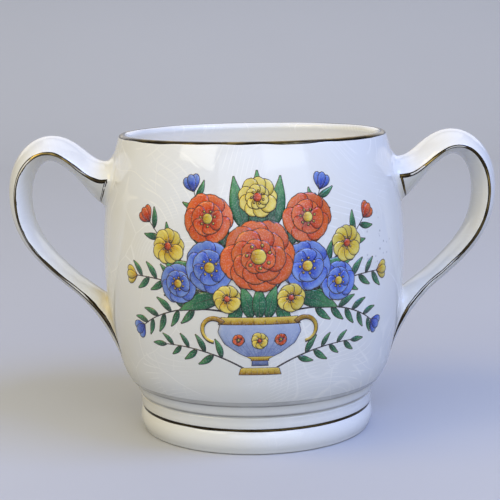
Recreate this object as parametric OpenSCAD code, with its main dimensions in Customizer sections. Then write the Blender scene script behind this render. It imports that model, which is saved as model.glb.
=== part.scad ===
// Two-handled loving cup in glazed earthenware.
// A barrel body stands on a stepped foot, with an ear-shaped strap handle each side and gilt lines.
// Sizes are in millimetres. The origin is the middle of the foot, on the table, and the handles lie along X.

/* [Body] */
// Height of the lip above the table
cup_h = 84; // [76:1:96]
// Greatest outside diameter of the barrel
belly_d = 85; // [76:1:96]
// Height of the greatest diameter
belly_z = 50; // [46:1:54]
// Radius of the barrel's upright curve
barrel_r = 112; // [95:1:150]
// Height at which the barrel turns in towards the foot
heel_z = 21; // [18:0.5:25]
// Radius of the heel's curve
heel_r = 20; // [17:0.5:24]
// Rounding of the corner between the heel and the flat underside
corner_r = 1.5; // [0.5:0.1:2.5]
// Thickness of the wall, which ends in a fully rounded lip
wall_t = 2.8; // [2:0.1:3.6]
// Thickness of the floor
floor_t = 3.4; // [2.4:0.1:5]
// Radius of the inside corner at the floor
floor_fillet_r = 5; // [2:0.5:6]

/* [Foot] */
// Height of the foot, up to the body's flat underside
foot_h = 14; // [12.5:0.5:15]
// Diameter of the two turned rings
ring_d = 66.4; // [62:0.2:69]
// Diameter of the rounded base moulding
base_d = 66.8; // [62:0.2:70]
// Height of the rounded base moulding
base_h = 6.5; // [5:0.1:7]
// Height of the base moulding's widest place
base_mid_z = 3.75; // [3:0.05:4.5]
// Radius of the base moulding's curve
base_curve_r = 5.5; // [4.5:0.1:8]
// Height of the lower ring
lower_ring_h = 3.1; // [2:0.1:3.6]
// Height of the turned line between the rings
line_h = 0.55; // [0.3:0.05:0.8]
// Depth of the turned line between the rings
line_depth = 0.5; // [0.2:0.05:1]
// How far each ring swells beyond its own edges
ring_swell = 0.3; // [0.1:0.05:0.6]
// How much the upper ring widens towards the body
ring_flare = 1.2; // [0:0.1:1.5]
// Width of the foot's wall under the rings or the base moulding, whichever is narrower
foot_wall = 6; // [4:0.1:8]
// How much the hollow of the foot narrows upwards
foot_draft = 0.8; // [0:0.1:2]
// Rounding at both edges of the resting face
rest_edge_r = 1; // [0.4:0.1:1.2]

/* [Handles] */
// Width of the strap at its crown, from ridge to ridge
strap_w = 22; // [17:0.5:26]
// Width of the strap in its lower run
strap_low_w = 16.5; // [13:0.5:20]
// Thickness of the strap at its crown
strap_t = 7; // [5:0.1:9]
// Thickness of the strap at its outermost edge
bow_t = 6.2; // [5:0.1:8]
// Thickness of the strap in its lower run
strap_low_t = 4.3; // [3.6:0.1:6]
// How far the ridges lie inside the middle of the strap's thickness at its crown
ridge_in = 0.5; // [0:0.1:1]
// How far the ridges lie inside the middle of the strap's thickness in its lower run
ridge_low_in = 0.1; // [0:0.1:0.6]
// How far the ridges rise where they meet the upper joint
ridge_rise = 1; // [0:0.1:1.3]
// How far the middle of the upper joint lies below the lip
joint_drop = 12.5; // [10:0.5:18]
// How much the strap's upper face thickens at the upper joint
flare_up = 2.6; // [1:0.1:3.5]
// How much the strap's lower face thickens at the upper joint
flare_down = 4.6; // [2:0.1:5.5]
// How far the thickening runs out along the strap
flare_len = 8; // [5:0.5:10]
// How much the strap's inner face thickens at the lower joint
low_flare = 4; // [1:0.1:5]
// How far that thickening runs out from the body
low_flare_len = 9; // [6:0.5:12]
// How far the handle's crown lies below the lip
crown_drop = 0.2; // [-8:0.1:4]
// How far the crown stands out from the widest part of the body
crown_out = 13.8; // [12:0.2:18]
// How far the handle's outermost edge stands out from the widest part of the body
handle_reach = 26; // [24:0.5:32]
// How far the outermost edge lies below the lip
bow_drop = 17; // [14:0.5:22]
// How far the middle of the lower run stands out from the widest part of the body
waist_out = 8.1; // [6:0.1:10]
// Height of the middle of the lower run
waist_z = 42; // [38:0.5:46]
// Slope of the lower run below level
waist_angle = 41; // [35:1:50]
// Height at which the tail dies away in the body
tail_z = 21; // [19:0.5:25]
// Slope of the tail below level
tail_angle = 64; // [55:1:75]
// How far the tail's outer face has sunk into the body at its end
tail_sink = 0.6; // [0.1:0.1:1.5]

/* [Gilding] */
// Thickness of the gilt lines
gilt_t = 0.12; // [0.05:0.01:0.2]
// How far up the lip's outer curve its gilt line starts, as an angle above level
lip_gilt_a = 30; // [20:1:60]
// How far over the crest of the lip the gilt line runs, as an angle
lip_gilt_over = 12; // [5:1:40]
// Height of the gilt line above the base moulding
foot_gilt_h = 0.7; // [0.4:0.05:1]

/* [Hidden] */
$fn = 120;

clay = "ivory";
gold = "darkgoldenrod";

// Points along an arc in the profile plane, from one angle to another
function arc(centre, radius, from, to, steps) =
    [for (i = [0 : steps]) let (a = from + (to - from) * i / steps) centre + radius * [cos(a), sin(a)]];
function reversed(list) = [for (i = [len(list) - 1 : -1 : 0]) list[i]];
function without_first(list) = [for (i = [1 : len(list) - 1]) list[i]];

// Barrel, heel and lip of the body, as arcs that run into each other
barrel_c = [belly_d / 2 - barrel_r, belly_z];
heel_a = -asin((belly_z - heel_z) / barrel_r);
heel_c = barrel_c + (barrel_r - heel_r) * [cos(heel_a), sin(heel_a)];
corner_a = -asin((heel_c[1] - foot_h - corner_r) / (heel_r - corner_r));
corner_c = heel_c + (heel_r - corner_r) * [cos(corner_a), sin(corner_a)];
lip_r = wall_t / 2;
lip_a = asin((cup_h - lip_r - belly_z) / (barrel_r - lip_r));
lip_c = barrel_c + (barrel_r - lip_r) * [cos(lip_a), sin(lip_a)];
floor_z = foot_h + floor_t;

// The inside corner takes at most this share of the room between the barrel's inside and the floor
fillet_share = 0.95;
heel_in_r = heel_r - wall_t;
fillet_room = (heel_c[1] - floor_z + heel_in_r * sin(heel_a)) / (1 + sin(heel_a));
fillet_r = min(floor_fillet_r, fillet_share * fillet_room);
fillet_a = -asin((heel_c[1] - floor_z - fillet_r) / (heel_in_r - fillet_r));
fillet_c = heel_c + (heel_in_r - fillet_r) * [cos(fillet_a), sin(fillet_a)];

barrel_steps = 20;
heel_steps = 6;
lip_steps = 6;
lip_edge_steps = 2;
corner_steps = 5;
outer_side = concat(
    arc(corner_c, corner_r, -90, corner_a, corner_steps),
    without_first(arc(heel_c, heel_r, corner_a, heel_a, heel_steps)),
    without_first(arc(barrel_c, barrel_r, heel_a, lip_a, barrel_steps))
);
lip_gilt = concat(
    arc(lip_c, lip_r, lip_gilt_a, 90, lip_steps),
    [lip_c + lip_r * [cos(90 + lip_gilt_over), sin(90 + lip_gilt_over)]]
);
lip = concat(
    arc(lip_c, lip_r, lip_a, lip_gilt_a, lip_edge_steps), without_first(lip_gilt),
    without_first(arc(lip_c, lip_r, 90 + lip_gilt_over, 180 + lip_a, lip_steps))
);
inner_side = concat(
    arc(barrel_c, barrel_r - wall_t, lip_a, heel_a, barrel_steps),
    without_first(arc(heel_c, heel_in_r, heel_a, fillet_a, heel_steps)),
    without_first(arc(fillet_c, fillet_r, fillet_a, -90, heel_steps))
);

// Outside radius of the body at a height
function body_r(z) = z >= heel_z
    ? barrel_c[0] + sqrt(barrel_r * barrel_r - (z - belly_z) * (z - belly_z))
    : heel_c[0] + sqrt(heel_r * heel_r - (z - heel_c[1]) * (z - heel_c[1]));

// The body's outside as a full solid, to which the handles are fitted
module body_outside() {
    rotate_extrude()
        polygon(concat([[0, foot_h]], outer_side, [[0, outer_side[len(outer_side) - 1][1]]]));
}

module cup_body() {
    color(clay)
        rotate_extrude()
            polygon(concat(
                [[0, foot_h]], outer_side, without_first(lip), without_first(inner_side), [[0, floor_z]]
            ));
}

// Levels of the foot, from the table up
gilt_top_z = base_h + foot_gilt_h;
line_z = gilt_top_z + lower_ring_h;
base_c = [base_d / 2 - base_curve_r, base_mid_z];
base_top_a = asin((base_h - base_c[1]) / base_curve_r);
base_low_a = -asin((base_c[1] - rest_edge_r) / base_curve_r);
base_steps = 10;
ring_steps = 4;
base_curve = arc(base_c, base_curve_r, base_low_a, base_top_a, base_steps);
groove_r = base_curve[base_steps][0];
rest_out_r = base_curve[0][0] - rest_edge_r;
hollow_r = min(ring_d, base_d) / 2 - foot_wall;

// A ring with a softly swelling face between two heights, which widens upwards by a flare
function ring_face(low, high, flare) = [
    for (i = [0 : ring_steps])
        let (share = i / ring_steps)
        [ring_d / 2 + flare * share - ring_swell * pow(2 * share - 1, 2), low + (high - low) * share]
];

module foot() {
    color(clay)
        rotate_extrude()
            polygon(concat(
                arc([hollow_r + rest_edge_r, rest_edge_r], rest_edge_r, 180, 270, ring_steps),
                [[rest_out_r, 0]], base_curve, [[groove_r, gilt_top_z]],
                ring_face(gilt_top_z, line_z, 0),
                [[ring_d / 2 - ring_swell - line_depth, line_z + line_h / 2]],
                ring_face(line_z + line_h, foot_h, ring_flare),
                [[hollow_r - foot_draft, foot_h]]
            ));
}

module rim_gilding() {
    proud = [for (p = lip_gilt) lip_c + (p - lip_c) * (lip_r + gilt_t) / lip_r];
    color(gold)
        rotate_extrude()
            polygon(concat(lip_gilt, reversed(proud)));
}

module foot_gilding() {
    color(gold)
        rotate_extrude()
            translate([groove_r, base_h])
                square([gilt_t, foot_gilt_h]);
}

// Middle line of the right-hand handle in its own plane, as four curves that run into each other
belly_r = belly_d / 2;
joint_z = cup_h - joint_drop;
root = [body_r(joint_z), joint_z];
crown = [belly_r + crown_out, cup_h - crown_drop - strap_t / 2];
bow = [belly_r + handle_reach - bow_t / 2, cup_h - bow_drop];
waist = [belly_r + waist_out, waist_z];
tail_depth = strap_low_t / 2 + tail_sink;
tail = [body_r(tail_z) - tail_depth, tail_z];
waist_way = [-cos(waist_angle), -sin(waist_angle)];
tail_way = [-cos(tail_angle), -sin(tail_angle)];

// How far each curve keeps its direction at its two ends
root_pull = [6, 0.5];
crown_in_pull = 6;
crown_out_pull = 5.2;
bow_up_pull = 7.5;
bow_down_pull = 11;
waist_up_pull = 12;
waist_down_pull = 7;
tail_pull = 12;
curves = [
    [root, root + root_pull, crown - [crown_in_pull, 0], crown],
    [crown, crown + [crown_out_pull, 0], bow + [0, bow_up_pull], bow],
    [bow, bow - [0, bow_down_pull], waist - waist_up_pull * waist_way, waist],
    [waist, waist + waist_down_pull * waist_way, tail - tail_pull * tail_way, tail]
];
curve_steps = [14, 9, 13, 14];

function on_curve(c, t) =
    pow(1 - t, 3) * c[0] + 3 * t * pow(1 - t, 2) * c[1] + 3 * t * t * (1 - t) * c[2] + pow(t, 3) * c[3];
function along_curve(c, t) =
    let (d = pow(1 - t, 2) * (c[1] - c[0]) + 2 * t * (1 - t) * (c[2] - c[1]) + t * t * (c[3] - c[2]))
    d / norm(d);

// The strap's half thickness, half width and ridge place where the curves meet
half_t = [strap_t, strap_t, bow_t, strap_low_t, strap_low_t] / 2;
half_w = [strap_w, strap_w, (strap_w + strap_low_w) / 2, strap_low_w, strap_low_w] / 2;
ridge_ins = [ridge_in, ridge_in, ridge_low_in, ridge_low_in, ridge_low_in];
function between(values, c, t) = values[c] + (values[c + 1] - values[c]) * t;

// How strongly each joint thickens the strap at a place on the middle line
function fade(distance, reach) = pow(max(0, 1 - distance / reach), 2);
function upper_flare(p, c) = c == 0 ? fade(p[0] - root[0], flare_len) : 0;
function lower_flare(p, c) = c == 3 ? low_flare * fade(max(0, p[0] - body_r(p[1])), low_flare_len) : 0;

// Stations along the strap: place, direction, thickness above and below, half width and ridge place
function station(p, way, c, t) = [
    p, way,
    between(half_t, c, t) + flare_up * upper_flare(p, c),
    between(half_t, c, t) + flare_down * upper_flare(p, c) + lower_flare(p, c),
    between(half_w, c, t),
    between(ridge_ins, c, t) - ridge_rise * min(1, upper_flare(p, c))
];

// The strap starts inside the body: how deep its first two stations lie
root_depths = [4, 1.2];
root_way = along_curve(curves[0], 0);
stations = concat(
    [for (d = root_depths) station(root - d * root_way, root_way, 0, 0)],
    [
        for (c = [0 : len(curves) - 1])
            for (i = [0 : curve_steps[c] - (c < len(curves) - 1 ? 1 : 0)])
                let (t = i / curve_steps[c])
                station(on_curve(curves[c], t), along_curve(curves[c], t), c, t)
    ]
);

// Lens-shaped section: a crowned outer face and a crowned inner face that meet in two soft ridges
sides = 20;
lens_power = 1.5;
back_ridge = 0;
front_ridge = sides / 2;
function section_point(s, k, proud) =
    let (
        a = 360 * k / sides,
        high = sin(a) >= 0 ? s[2] + s[5] : s[3] - s[5],
        lift = sign(sin(a)) * high * pow(abs(sin(a)), lens_power),
        skin_way = [cos(a) * high, sin(a) * s[4]],
        skin = proud * skin_way / norm(skin_way),
        up = lift - s[5] + skin[1],
        p = s[0] + up * [-s[1][1], s[1][0]]
    )
    [p[0], s[4] * cos(a) + skin[0], p[1]];
function surface_points(proud) = [for (s = stations) for (k = [0 : sides - 1]) section_point(s, k, proud)];
function index(i, k) = i * sides + (k + sides) % sides;
last_station = len(stations) - 1;

// The whole strap, with its ends still buried in the body
module strap() {
    side_faces = [
        for (i = [0 : last_station - 1])
            for (k = [0 : sides - 1])
                for (half = [[[0, 0], [1, 0], [1, 1]], [[0, 0], [1, 1], [0, 1]]])
                    [for (step = half) index(i + step[0], k + step[1])]
    ];
    ends = [
        [for (k = [0 : sides - 1]) index(0, k)],
        [for (k = [sides - 1 : -1 : 0]) index(last_station, k)]
    ];
    polyhedron(surface_points(0), concat(side_faces, ends));
}

// A thin skin on chosen fields of the strap, each named by its station and its place round the section
function has(fields, f) = len([for (g = fields) if (g == f) 1]) > 0;
module strap_skin(fields) {
    count = len(stations) * sides;
    corners = [[0, 0], [1, 0], [1, 1], [0, 1]];
    neighbours = [[0, -1], [1, 0], [0, 1], [-1, 0]];
    faces = [
        for (f = fields)
            let (q = [for (c = corners) index(f[0] + c[0], f[1] + c[1])])
            each concat(
                [[q[0], q[1], q[2]], [q[0], q[2], q[3]]],
                [[q[0] + count, q[2] + count, q[1] + count], [q[0] + count, q[3] + count, q[2] + count]],
                [
                    for (e = [0 : 3])
                        if (!has(fields, f + neighbours[e]))
                            let (from = q[e], to = q[(e + 1) % 4])
                            each [[to, from, from + count], [to, from + count, to + count]]
                ]
            )
    ];
    polyhedron(concat(surface_points(gilt_t), surface_points(0)), faces);
}

// The gilt line of one edge runs along the ridge and turns down beside the upper joint
joint_turn = 3;
joint_station = len(root_depths) - 1;
front_fields = concat(
    [for (i = [0 : last_station - 1]) for (k = [-1, 0]) [i, front_ridge + k]],
    [for (k = [1 : joint_turn]) [joint_station, front_ridge + k]]
);
back_fields = concat(
    [for (i = [0 : last_station - 1]) for (k = [-1, 0]) [i, sides + back_ridge + k]],
    [for (k = [1 : joint_turn]) [joint_station, sides + back_ridge - 1 - k]]
);

module fitted_to_body() {
    difference() {
        children();
        body_outside();
    }
}

module handle() {
    color(clay) fitted_to_body() strap();
}

module handle_gilding(fields) {
    color(gold) fitted_to_body() strap_skin(fields);
}

module left_handle() {
    mirror([1, 0, 0]) handle();
}

module right_handle() {
    handle();
}

module left_handle_front_gilding() {
    mirror([1, 0, 0]) handle_gilding(front_fields);
}

module left_handle_back_gilding() {
    mirror([1, 0, 0]) handle_gilding(back_fields);
}

module right_handle_front_gilding() {
    handle_gilding(front_fields);
}

module right_handle_back_gilding() {
    handle_gilding(back_fields);
}

cup_body();
foot();
left_handle();
right_handle();
rim_gilding();
foot_gilding();
left_handle_front_gilding();
left_handle_back_gilding();
right_handle_front_gilding();
right_handle_back_gilding();
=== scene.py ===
"""Looks of the loving cup: crazed cream glaze, worn gilt lines and a printed urn of flowers."""
import math

import bpy
import numpy as np
from mathutils import Matrix, Vector


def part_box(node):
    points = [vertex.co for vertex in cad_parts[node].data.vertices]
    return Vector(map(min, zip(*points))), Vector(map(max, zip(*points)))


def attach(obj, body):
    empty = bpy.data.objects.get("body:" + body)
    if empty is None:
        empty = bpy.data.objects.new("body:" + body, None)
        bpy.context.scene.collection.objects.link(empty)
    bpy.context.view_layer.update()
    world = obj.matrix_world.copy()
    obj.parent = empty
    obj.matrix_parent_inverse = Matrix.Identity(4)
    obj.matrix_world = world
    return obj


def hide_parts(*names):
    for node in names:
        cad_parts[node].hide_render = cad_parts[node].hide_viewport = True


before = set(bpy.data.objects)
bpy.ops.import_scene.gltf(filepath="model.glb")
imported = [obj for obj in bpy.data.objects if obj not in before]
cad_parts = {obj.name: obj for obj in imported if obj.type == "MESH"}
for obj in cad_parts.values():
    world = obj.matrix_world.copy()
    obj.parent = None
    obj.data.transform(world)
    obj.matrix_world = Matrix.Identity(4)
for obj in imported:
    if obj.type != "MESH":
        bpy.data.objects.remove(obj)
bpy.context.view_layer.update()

MM = 0.001
BODY = "root"

# Sizes read from the frame, in millimetres
cup_low, cup_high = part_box("cup_body")
strap_low, strap_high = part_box("right_handle")
cup_h = cup_high.z / MM
foot_h = cup_low.z / MM
belly_r = cup_high.y / MM
handle_reach = strap_high.x / MM - belly_r
crown_z = strap_high.z / MM
strap_w = (strap_high.y - strap_low.y) / MM

# Sizes of the body, in millimetres
belly_z = 50.0
barrel_r = 112.0
heel_z = 21.0
heel_r = 20.0
corner_r = 1.5
wall_t = 2.8
floor_t = 3.4
fillet_r = 5.0

# Sizes of the foot, in millimetres
ring_r = 33.2
base_r = 33.4
base_h = 6.5
base_mid_z = 3.75
base_curve_r = 5.5
gilt_h = 0.7
lower_ring_h = 3.1
line_h = 0.55
line_depth = 0.5
lower_ring_rs = [32.95, 33.2]
upper_ring_rs = [33.4, 34.5]
ring_swell = 0.1
ring_edge_r = 0.25
foot_wall = 6.0
foot_draft = 0.8
rest_edge_r = 1.0

# Sizes of the handles, in millimetres
strap_low_w = 16.5
strap_t = 7.0
bow_t = 6.2
strap_low_t = 4.3
ridge_in = 0.5
ridge_low_in = 0.1
ridge_rise = 1.0
joint_drop = 12.5
flare_up = 2.6
flare_down = 4.6
flare_len = 8.0
low_flare = 4.0
low_flare_len = 9.0
crown_out = 13.8
bow_drop = 17.0
waist_out = 8.1
waist_z = 42.0
waist_angle = 41.0
tail_z = 21.0
tail_angle = 64.0
tail_sink = 0.6
lens_power = 1.5

# How far slip and glaze round off the handles' joints, in millimetres: outer face, ridges and inner face
joint_rounds = [2.1, 1.8, 1.5]
tail_rounds = [7.5, 7.5, 1.4]
joint_sink = 0.06

seed = 11
rng = np.random.default_rng(seed)


def heading(angle):
    """Unit vectors at angles in degrees."""
    a = np.radians(angle)
    return np.stack([np.cos(a), np.sin(a)], axis=-1)


def arcsine(share):
    return math.degrees(math.asin(share))


def arc(centre, radius, start, end, steps):
    """Points along an arc in the profile plane, with its angles in degrees."""
    return np.asarray(centre) + radius * heading(np.linspace(start, end, steps + 1))


def unit(ways):
    return ways / np.maximum(np.linalg.norm(ways, axis=-1, keepdims=True), 1e-9)


def run_along(points):
    """How far along a line each of its points lies."""
    return np.r_[0, np.cumsum(np.linalg.norm(np.diff(points, axis=0), axis=1))]


def joined(*runs):
    """Runs of points as one line, without points that repeat."""
    points = np.vstack(runs)
    return points[np.r_[True, np.diff(run_along(points)) > 1e-6]]


def at_run(where, run, points):
    """Places at distances along a line of points."""
    return np.stack([np.interp(where, run, p) for p in points.T], axis=-1)


def flipped(faces):
    return [face[::-1] for face in faces]


def shifted(faces, by):
    return [[corner + by for corner in face] for face in faces]


def smooth_noise(count, knots, amount):
    """A wavering value along a closed line, such as a hand-drawn edge."""
    heights = rng.uniform(-amount, amount, knots)
    places = np.arange(count) * knots / count
    low = np.floor(places).astype(int)
    share = places - low
    share = share * share * (3 - 2 * share)
    return heights[low % knots] * (1 - share) + heights[(low + 1) % knots] * share


# Meshes
def placed(name, data):
    """A new object in the scene."""
    made = bpy.data.objects.new(name, data)
    bpy.context.scene.collection.objects.link(made)
    return made


def make_piece(name, points, faces, material, slot, stands_for=(), uv=None, values=None, smooth=None):
    """A piece of the cup on its only body, from points in millimetres, smooth apart from its end caps."""
    mesh = bpy.data.meshes.new(name)
    mesh.from_pydata((np.asarray(points) * MM).tolist(), [], faces)
    mesh.validate()
    mesh.polygons.foreach_set("use_smooth", smooth or [len(face) <= 4 for face in faces])
    corners = np.zeros(len(mesh.loops), np.int32)
    mesh.loops.foreach_get("vertex_index", corners)
    if uv is not None:
        layer = mesh.uv_layers.new(name="motif")
        layer.data.foreach_set("uv", np.asarray(uv, np.float32)[corners].ravel())
    for key, value in (values or {}).items():
        attribute = mesh.attributes.new(key, "FLOAT", "POINT")
        attribute.data.foreach_set("value", np.asarray(value, np.float32))
    mesh.materials.append(material)
    piece = placed(name, mesh)
    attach(piece, BODY)
    if stands_for:
        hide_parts(*stands_for)


def revolved(profile, segments, closed):
    """Points and faces of a profile turned about the cup's axis. An open profile ends on the axis."""
    turn = np.linspace(0, 2 * math.pi, segments, endpoint=False)
    points, rings = [], []
    for r, z in profile:
        start = len(points)
        if r < 1e-6:
            points.append((0, 0, z))
            rings.append([start] * segments)
        else:
            points.extend(zip(r * np.cos(turn), r * np.sin(turn), np.full(segments, z)))
            rings.append(list(range(start, start + segments)))
    faces = []
    for i in range(len(rings) if closed else len(rings) - 1):
        low, high = rings[i], rings[(i + 1) % len(rings)]
        for j in range(segments):
            k = (j + 1) % segments
            corners = [low[j], low[k], high[k], high[j]]
            faces.append(list(dict.fromkeys(corners)))
    return points, faces


def slab(top, bottom, wrap=False):
    """Points and faces of a closed film between two grids, its skins first. A wrapped film is a ring."""
    rows, cols = top.shape[:2]
    points = np.vstack([top.reshape(-1, 3), bottom.reshape(-1, 3)])
    under = rows * cols
    skins, edges = [], []
    for i in range(rows if wrap else rows - 1):
        n = (i + 1) % rows
        for j in range(cols - 1):
            face = [i * cols + j, n * cols + j, n * cols + j + 1, i * cols + j + 1]
            skins += [face, [under + c for c in face[::-1]]]
        edges += [(n * cols, i * cols), (i * cols + cols - 1, n * cols + cols - 1)]
    if not wrap:
        far = (rows - 1) * cols
        for j in range(cols - 1):
            edges += [(j, j + 1), (far + j + 1, far + j)]
    return points, skins + [[a, b, under + b, under + a] for a, b in edges]


# Outline of the body, as arcs that run into each other
barrel_c = np.array([belly_r - barrel_r, belly_z])
heel_a = -arcsine((belly_z - heel_z) / barrel_r)
heel_c = barrel_c + (barrel_r - heel_r) * heading(heel_a)
heel_in_r = heel_r - wall_t
lip_r = wall_t / 2
lip_a = arcsine((cup_h - lip_r - belly_z) / (barrel_r - lip_r))
lip_c = barrel_c + (barrel_r - lip_r) * heading(lip_a)
floor_z = foot_h + floor_t
gilt_top_z = base_h + gilt_h
line_z = gilt_top_z + lower_ring_h


def nested_arc(radius, level):
    """Angle and centre of a smaller arc inside the heel's arc that touches a level plane."""
    outer = heel_in_r if level > foot_h else heel_r
    a = -arcsine((heel_c[1] - level - radius) / (outer - radius))
    return a, heel_c + (outer - radius) * heading(a)


corner_a, corner_c = nested_arc(corner_r, foot_h)
fillet_a, fillet_c = nested_arc(fillet_r, floor_z)


def body_radius(z):
    """Outside radius of the body at a height."""
    z = np.asarray(z, float)
    barrel = barrel_c[0] + np.sqrt(barrel_r ** 2 - (z - belly_z) ** 2)
    heel = heel_c[0] + np.sqrt(np.maximum(heel_r ** 2 - (z - heel_c[1]) ** 2, 0))
    return np.where(z >= heel_z, barrel, heel)


def body_normal(points):
    """Direction straight out of the body's wall at points near it."""
    z = points[..., 2]
    rise = np.where(z >= heel_z, (z - belly_z) / barrel_r, (z - heel_c[1]) / heel_r)
    level = np.sqrt(1 - rise ** 2)
    out = unit(points[..., :2])
    return np.concatenate([out * level[..., None], rise[..., None]], axis=-1)


def body_distance(points):
    """How far points stand off the body's wall."""
    return np.linalg.norm(points[..., :2], axis=-1) - body_radius(points[..., 2])


def on_body(u, z, lift):
    """A place on the front of the body: u to the right along the wall, z up, lift off the wall."""
    angle = np.asarray(u) / belly_r
    r = body_radius(z) + lift
    return np.stack([r * np.sin(angle), -r * np.cos(angle), np.broadcast_to(z, r.shape)], axis=-1)


# Materials
def srgb(red, green, blue):
    """A colour given as it looks on a screen, from 0 to 255, as the shader's own values."""
    parts = [c / 255 for c in (red, green, blue)]
    return tuple(c / 12.92 if c <= 0.04045 else ((c + 0.055) / 1.055) ** 2.4 for c in parts) + (1.0,)


class Shader:
    """A node material, with short ways to add its nodes. Scales of noise and cells are per metre."""

    def __init__(self, name):
        self.material = bpy.data.materials.new(name)
        self.material.use_nodes = True
        self.tree = self.material.node_tree
        self.surface = self.tree.nodes["Principled BSDF"]
        self.place = self.node("TexCoord").outputs["Object"]

    def join(self, value, socket):
        if isinstance(value, bpy.types.NodeSocket):
            self.tree.links.new(value, socket)
        else:
            socket.default_value = value

    def node(self, kind, inputs=None, **settings):
        made = self.tree.nodes.new("ShaderNode" + kind)
        for key, value in settings.items():
            setattr(made, key, value)
        for key, value in (inputs or {}).items():
            self.join(value, made.inputs[key])
        return made

    def noise(self, scale, detail=3.0, place=None):
        made = self.node("TexNoise", {"Vector": place or self.place, "Scale": scale, "Detail": detail})
        return made.outputs["Fac"]

    def math(self, operation, a, b=0.0):
        return self.node("Math", {0: a, 1: b}, operation=operation).outputs[0]

    def times(self, product, *others):
        for other in others:
            product = self.math("MULTIPLY", product, other)
        return product

    def vector(self, operation, a, b=(0.0, 0.0, 0.0)):
        made = self.node("VectorMath", {0: a, 1: b}, operation=operation)
        return made.outputs["Value" if operation in ("LENGTH", "DISTANCE") else "Vector"]

    def fade(self, value, low, high, start=0.0, end=1.0):
        """The value's stretch from low to high, as start to end, and level beyond it."""
        inputs = {"Value": value, "From Min": low, "From Max": high, "To Min": start, "To Max": end}
        return self.node("MapRange", inputs, clamp=True).outputs["Result"]

    def within(self, value, low, high):
        """1 up to low, falling to 0 at high."""
        return self.fade(value, low, high, 1.0, 0.0)

    def vary(self, scale, start, end, detail=3.0, high=0.7):
        """A value that wavers over the surface from start to end."""
        return self.fade(self.noise(scale, detail), 0.3, high, start, end)

    def mix(self, share, a, b, blend="MIX"):
        made = self.node("Mix", {0: share, 6: a, 7: b}, data_type="RGBA", blend_type=blend)
        return made.outputs[2]

    def ramp(self, value, stops):
        made = self.node("ValToRGB", {"Fac": value})
        elements = made.color_ramp.elements
        while len(elements) < len(stops):
            elements.new(0.5)
        for element, (position, colour) in zip(elements, stops):
            element.position = position
            element.color = colour
        return made.outputs["Color"]

    def value(self, name):
        return self.node("Attribute", attribute_name=name).outputs["Fac"]

    def bump(self, height, strength, distance):
        inputs = {"Height": height, "Strength": strength, "Distance": distance}
        return self.node("Bump", inputs).outputs["Normal"]

    def set(self, **sockets):
        for key, value in sockets.items():
            self.join(value, self.surface.inputs[key.replace("_", " ")])
        return self.material


cream = srgb(237, 235, 227)
cool_white = srgb(239, 240, 240)
# A whiter copy of the glaze for the inside of the cup, painted lighter to stand in for light in the shaded
# inside
inside_white = srgb(248, 246, 240)
crack_pale = srgb(252, 251, 247)
pooled = srgb(222, 202, 142)
bisque = srgb(214, 200, 172)
speck_brown = srgb(128, 104, 74)
speck_grey = srgb(126, 122, 128)
# Grey of the crease marks: partly real dirt, partly painted shade in and below the creases
crease_dirt_and_shade_grey = srgb(96, 90, 86)

# Sizes in the glaze, in metres
craze_bend = 0.022
specks_at = (0.0322, -0.0276, 0.0562)
specks_reach = (0.002, 0.009)
wipe_waver = 0.0001
wipe_edge = (0.00005, 0.0002)
wave_h = 0.0008

# How strongly the glaze's patterns show
craze_line = 0.012
craze_relief = 0.05
kiln_share = 0.7
speck_share = 0.6
bare_rough = 0.8
ripple_share = 0.08
wave_share = 0.12

# Hairlines: stretch, spacing, and the scale and limits of their patches
hairlines = [((15.0, 15.0, 24.0), 0.014, 33.0, 0.48, 0.6), ((27.0, 27.0, 13.0), 0.02, 27.0, 0.5, 0.62)]

# Crease marks, partly dirt and partly painted shade, are put only this far off the cup's axis, in
# millimetres, so that the hollow stays clean
crease_rs = (28.0, 29.0)


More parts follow.
